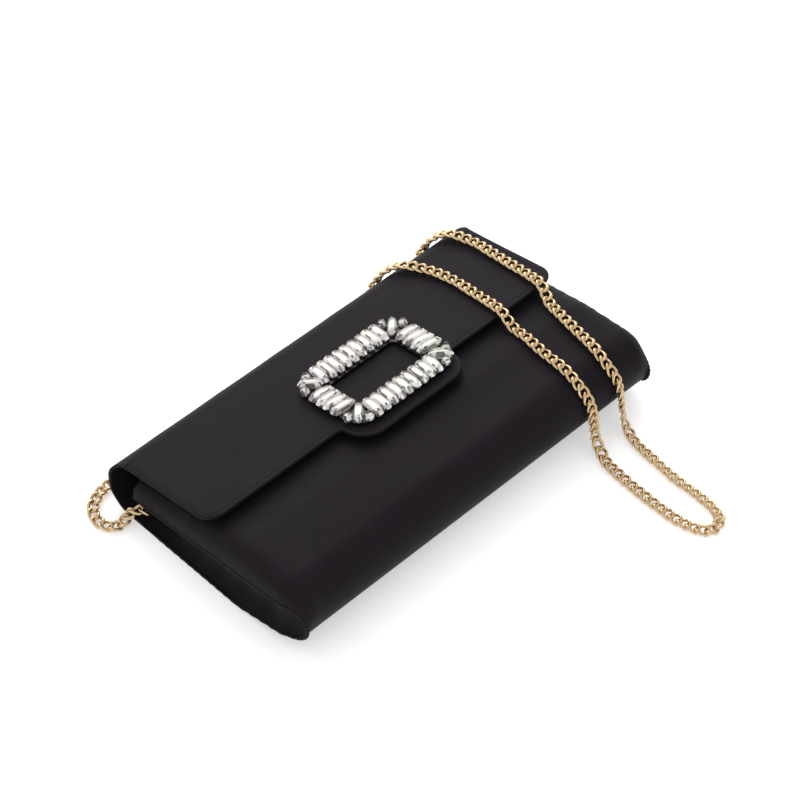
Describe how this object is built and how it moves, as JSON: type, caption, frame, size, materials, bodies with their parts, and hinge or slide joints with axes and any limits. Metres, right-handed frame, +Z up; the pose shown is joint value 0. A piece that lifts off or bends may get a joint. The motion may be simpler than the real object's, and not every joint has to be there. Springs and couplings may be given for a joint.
{
  "type": "evening bag",
  "caption": "Flat satin envelope evening bag with a rounded tab flap, a crystal-set rectangular buckle and a curb chain shoulder strap.",
  "frame": {"origin": "on the surface the bag lies on, under the middle of the bag's own outline, without the chain", "axes": "+X along the bag's width to its right side seam, +Y from the rounded base to the fold, +Z up through the flap and buckle"},
  "size_m": [0.3058, 0.2669, 0.0555],
  "materials": {
    "satin": "satin",
    "lining": "satin",
    "board": "matte",
    "foam": "matte",
    "buckle_metal": "polished",
    "crystal": "faceted",
    "steel": "satin",
    "gold": "polished",
    "chain": "polished"
  },
  "bodies": {
    "root": {"back_panel": "satin", "front_panel": "satin", "left_gusset": "satin", "right_gusset": "satin", "back_board": "board", "front_foam": "foam", "lining": "lining", "slip_pocket": "lining", "fold_strip": "satin", "snap_socket": "steel", "snap_socket_washer": "steel", "left_ring_loop": "satin", "right_ring_loop": "satin", "left_ring": "gold", "right_ring": "gold", "left_clasp": "gold", "right_clasp": "gold", "left_end_ring": "gold", "right_end_ring": "gold", "chain_left_lead": "chain", "chain_right_lead": "chain"},
    "flap": {"flap_cover": "satin", "flap_board": "board", "flap_lining": "lining", "buckle_frame": "buckle_metal", "long_side_stones": "crystal", "short_side_stones": "crystal", "corner_stones": "crystal", "round_stones": "crystal", "buckle_posts": "steel", "buckle_washers": "steel", "snap_stud": "steel", "snap_stud_washer": "steel"},
    "chain_loop": {"chain_loop": "chain"},
    "left_gate": {"left_clasp_gate": "gold"},
    "right_gate": {"right_clasp_gate": "gold"}
  },
  "joints": [
    {"name": "flap_hinge", "type": "hinge", "parent": "root", "child": "flap", "pos_m": [0, 0.066, 0.0237], "axis": [-1, 0, 0], "range_deg": [0, 134], "deforming": ["fold_strip"]},
    {"name": "chain_flip", "type": "hinge", "parent": "root", "child": "chain_loop", "pos_m": [0, 0.084, 0.006], "axis": [-1, 0, 0], "range_deg": [0, 180]},
    {"name": "left_gate_pivot", "type": "hinge", "parent": "root", "child": "left_gate", "pos_m": [-0.11504, 0.0528, 0.0094], "axis": [0, 0, -1], "range_deg": [0, 20], "stiffness_Nm_per_rad": 0.002},
    {"name": "right_gate_pivot", "type": "hinge", "parent": "root", "child": "right_gate", "pos_m": [0.11504, 0.0528, 0.0094], "axis": [0, 0, 1], "range_deg": [0, 20], "stiffness_Nm_per_rad": 0.002}
  ],
  "couplings": [
    {"joint": "chain_flip", "follows": "flap_hinge", "ratio": 1.343}
  ]
}
